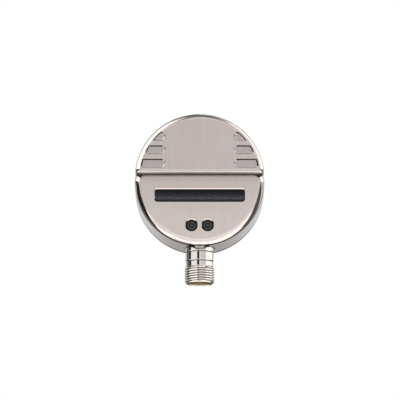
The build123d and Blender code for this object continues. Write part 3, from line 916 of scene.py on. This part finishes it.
def makeProcessBody():
    low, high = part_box("process_body")
    p = processLook
    front, end = low.y / mm, high.y / mm
    hexStart = -p["hexLength"]
    corner = p["flats"] / sqrt(3)
    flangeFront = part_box("thrust_washer")[1].y / mm
    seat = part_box("probe_tube")[1].x / mm
    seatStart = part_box("probe_tube")[0].y / mm
    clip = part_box("swivel_circlip")
    clipStart, clipEnd = clip[0].y / mm, clip[1].y / mm
    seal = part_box("swivel_seal")
    sealStart, sealEnd = seal[0].y / mm, seal[1].y / mm
    spigot = seal[1].x / mm
    clipFloor, sealFloor = spigot - p["clipDepth"], spigot - p["sealDepth"]
    chamfer = []
    for i in range(p["chamferRows"] + 1):
        share = i / p["chamferRows"]
        limit = corner - p["hexChamfer"] * p["chamferSlope"] * (1 - share)
        chamfer.append((hexRadius(p["flats"], limit), p["hexChamfer"] * share))
    profile = [
        (p["bore"], front),
        (spigot - p["spigotChamfer"], front),
        (spigot, front + p["spigotChamfer"]),
        (spigot, clipStart),
        (clipFloor, clipStart),
        (clipFloor, clipEnd),
        (spigot, clipEnd),
        (spigot, sealStart),
        (sealFloor, sealStart),
        (sealFloor, sealEnd),
        (spigot, sealEnd),
        (spigot, flangeFront),
        (p["flange"] - p["soft"], flangeFront),
        (p["flange"], flangeFront + p["soft"]),
        (p["flange"], hexStart),
        *[(radius, hexStart + along) for radius, along in chamfer],
        *[(radius, -along) for radius, along in reversed(chamfer)],
        (processThread["radius"] - processThread["depth"], 0.0),
        "thread",
        (seat, end),
        (seat, seatStart),
        (p["bore"], seatStart),
    ]
    thread = dict(processThread, start=0.0, end=end)
    mesh = turnedMesh("processBody", "Y", (0, 0, 0), profile, thread, p["segments"])
    addPiece("processBody", mesh, "process", ["process_body"], "turnedSteel")


makeProcessBody()
print("process body threaded")


# Studio: a tent of soft cards for reflections, and a white view behind it

# Directions are in degrees: azimuth 0 is the front and 90 the display's right, elevation 0 is level.
# A card runs from one (azimuth, elevation) to another, and later cards cover earlier ones.
tentCards = {
    "frontWall": {"from": (-17, 9.5), "to": (50, 62), "soft": 3, "level": 1.05},
    "leftSoftbox": {"from": (-112, 10), "to": (-20, 68), "soft": 1.5, "level": 1.95},
    "rightSoftbox": {"from": (52, 9.3), "to": (124, 66), "soft": 4, "level": 1.8},
    "frontPost": {"from": (-19, 13), "to": (8, 17), "soft": 1.5, "level": 0.4},
    "leftPost": {"from": (-99, -14), "to": (-75, 15), "soft": 2, "level": 0.02},
    "leftRail": {"from": (-132, 7), "to": (-96, 15), "soft": 2, "level": 0.2},
    "leftSkirt": {"from": (-176, -62), "to": (-137, -33), "soft": 5, "level": 0.4},
    "leftApron": {"from": (-46, -37), "to": (-27, -16), "soft": 4, "level": 0.95},
    "thinPost": {"from": (-20, 4), "to": (-3, 15), "soft": 1.5, "level": 0.0},
    "roofGap": {"from": (-200, 74), "to": (200, 100), "soft": 10, "level": 0.22},
    "roofFront": {"from": (-22, 52), "to": (40, 80), "soft": 5, "level": 0.24},
    "backGap": {"from": (128, 30), "to": (200, 80), "soft": 10, "level": 0.55},
    "backGapLeft": {"from": (-200, 30), "to": (-128, 80), "soft": 10, "level": 0.22},
    "wallSlit": {"from": (-22, 43), "to": (-7, 55), "soft": 2, "level": 0.0},
}
tentBands = {
    "side": 0.88,          # what stands round the object, level with it
    "backLow": 0.47,
    "backHigh": 0.70,
    "apron": 1.3,          # the white sheet below and in front
    "apronSides": 1.88,
    "darkLeft": 0.03,      # the dark room between the apron and the lit walls
    "darkRight": 0.12,
    "darkBack": 0.2,
}
# Azimuths between which an edge moves, and the elevations that it moves between.
tentEdges = {
    "apron": (14, 80, 9, -40),
    "apronRise": (132, 168, 0, 15),
    "wallLeft": (88, 148, 9.3, -12),
    "wallRight": (58, 106, 9.3, -12),
}
tentFades = {
    "backRise": (-10, 4),
    "sideToBack": (110, 165),
    "roomToBack": (95, 125),
    "apronToSides": (22, 40),
    "apronBottom": (-66, -56),
    "wallFoot": (-1.2, 1.2),
    "apronEdge": (-2.5, 2.5),
}


def makeTentCard():
    tree, given, out = newGroup(
        "tentCard",
        {
            "Azimuth": ("Value", 0.0),
            "Elevation": ("Value", 0.0),
            "Left": ("Value", 0.0),
            "Right": ("Value", 0.0),
            "Low": ("Value", 0.0),
            "High": ("Value", 0.0),
            "Soft": ("Value", 1.0),
        },
        {"Mask": "Value"},
    )

    def inside(value, low, high):
        rise = tree.math("DIVIDE", tree.math("SUBTRACT", value, low), given["Soft"])
        fall = tree.math("DIVIDE", tree.math("SUBTRACT", high, value), given["Soft"])
        rise = tree.math("ADD", rise, 0.5, clamp=True)
        fall = tree.math("ADD", fall, 0.5, clamp=True)
        return tree.times(rise, fall)

    across = inside(given["Azimuth"], given["Left"], given["Right"])
    up = inside(given["Elevation"], given["Low"], given["High"])
    tree.link(tree.times(across, up), out["Mask"])


def tentMask(tree, azimuth, elevation, card):
    return tree.group(
        "tentCard",
        Azimuth=azimuth,
        Elevation=elevation,
        Left=card["from"][0],
        Right=card["to"][0],
        Low=card["from"][1],
        High=card["to"][1],
        Soft=card["soft"],
    )["Mask"]


def makeWorld():
    makeTentCard()
    world = bpy.data.worlds.new("studio")
    bpy.context.scene.world = world
    world.use_nodes = True
    tree = Tree(world.node_tree)
    world.node_tree.nodes.clear()
    direction = tree.split(tree.node("ShaderNodeTexCoord").outputs["Generated"])
    azimuth = tree.math("ARCTAN2", direction[0], tree.math("MULTIPLY", direction[1], -1.0))
    azimuth = tree.math("MULTIPLY", azimuth, 180 / pi)
    elevation = tree.math("MULTIPLY", tree.math("ARCSINE", direction[2]), 180 / pi)
    away = tree.math("ABSOLUTE", azimuth)
    onRight = tree.math("GREATER_THAN", azimuth, 0.0)
    level = {name: grey(value) for name, value in tentBands.items()}
    edges, fades = tentEdges, tentFades
    behind = tree.mix(tree.ramp(elevation, *fades["backRise"]), level["backLow"], level["backHigh"])
    colour = tree.mix(tree.ramp(away, *fades["sideToBack"]), level["side"], behind)

    # The dark room shows between the white apron below and the lit walls above.
    wallFoot = tree.math(
        "ADD",
        tree.times(onRight, tree.ramp(away, *edges["wallRight"], smooth=False)),
        tree.times(tree.flip(onRight), tree.ramp(away, *edges["wallLeft"], smooth=False)),
    )
    room = tree.mix(onRight, level["darkLeft"], level["darkRight"])
    room = tree.mix(tree.ramp(away, *fades["roomToBack"]), room, level["darkBack"])
    below = tree.ramp(tree.math("SUBTRACT", elevation, wallFoot), *fades["wallFoot"], 1.0, 0.0)
    colour = tree.mix(below, colour, room)
    apronEdge = tree.math(
        "ADD", tree.ramp(away, *edges["apron"], smooth=False), tree.ramp(away, *edges["apronRise"])
    )
    sides = tree.math(
        "MAXIMUM",
        tree.ramp(away, *fades["apronToSides"]),
        tree.ramp(elevation, *fades["apronBottom"], 1.0, 0.0),
    )
    apron = tree.mix(sides, level["apron"], level["apronSides"])
    under = tree.ramp(tree.math("SUBTRACT", elevation, apronEdge), *fades["apronEdge"], 1.0, 0.0)
    colour = tree.mix(under, colour, apron)

    for card in tentCards.values():
        colour = tree.mix(tentMask(tree, azimuth, elevation, card), colour, grey(card["level"]))
    tent = tree.node("ShaderNodeBackground")
    tree.link(colour, tent.inputs[0])
    plain = tree.node("ShaderNodeBackground")
    plain.inputs[0].default_value = (1, 1, 1, 1)
    seen = tree.node("ShaderNodeLightPath").outputs["Is Camera Ray"]
    both = tree.node("ShaderNodeMixShader")
    tree.link(seen, both.inputs[0])
    tree.link(tent.outputs[0], both.inputs[1])
    tree.link(plain.outputs[0], both.inputs[2])
    end = tree.node("ShaderNodeOutputWorld")
    tree.link(both.outputs[0], end.inputs[0])


floorSetup = {
    "height": -3.2,
    "reach": 12.0,
    "colour": (0.9, 0.9, 0.89, 1),
    "roughness": 0.8,
    "cloud": 40.0,
    "tones": (0.99, 1.0),
}


def makeFloor(setup):
    # The floor lies below every camera, and the steel mirrors the tent instead of it.
    material, tree, shader = newMaterial("floorPaper")
    place = tree.node("ShaderNodeTexCoord").outputs["Object"]
    shade = tree.ramp(tree.noise(place, setup["cloud"]), 0.3, 0.7, *setup["tones"])
    tree.link(tree.scaled(setup["colour"][:3], shade), shader.inputs["Base Color"])
    shader.inputs["Roughness"].default_value = setup["roughness"]
    materials["floorPaper"] = material
    reach, height = setup["reach"], setup["height"]
    mesh = bpy.data.meshes.new("floor")
    corners = [(x * reach, y * reach, height) for x, y in ((-1, -1), (1, -1), (1, 1), (-1, 1))]
    mesh.from_pydata(corners, [], [(0, 1, 2, 3)])
    floor = bpy.data.objects.new("floor", mesh)
    bpy.context.scene.collection.objects.link(floor)
    paint(floor, "floorPaper")
    floor.visible_glossy = False


lampSetup = [
    # name, place, size, power
    ("keyLamp", (-0.7, -1.0, 1.1), 0.9, 9.0),
    ("fillLamp", (0.9, -0.8, 0.7), 1.1, 5.0),
]


def makeLamps():
    for name, place, size, power in lampSetup:
        lamp = bpy.data.lights.new(name, "AREA")
        lamp.shape = "DISK"
        lamp.size = size
        lamp.energy = power
        holder = bpy.data.objects.new(name, lamp)
        bpy.context.scene.collection.objects.link(holder)
        holder.location = place
        holder.rotation_mode = "QUATERNION"
        holder.rotation_quaternion = (-Vector(place)).to_track_quat("-Z", "Y")
        holder.visible_glossy = False


makeWorld()
makeFloor(floorSetup)
makeLamps()
bpy.context.scene.view_settings.view_transform = "Standard"
print("studio ready")
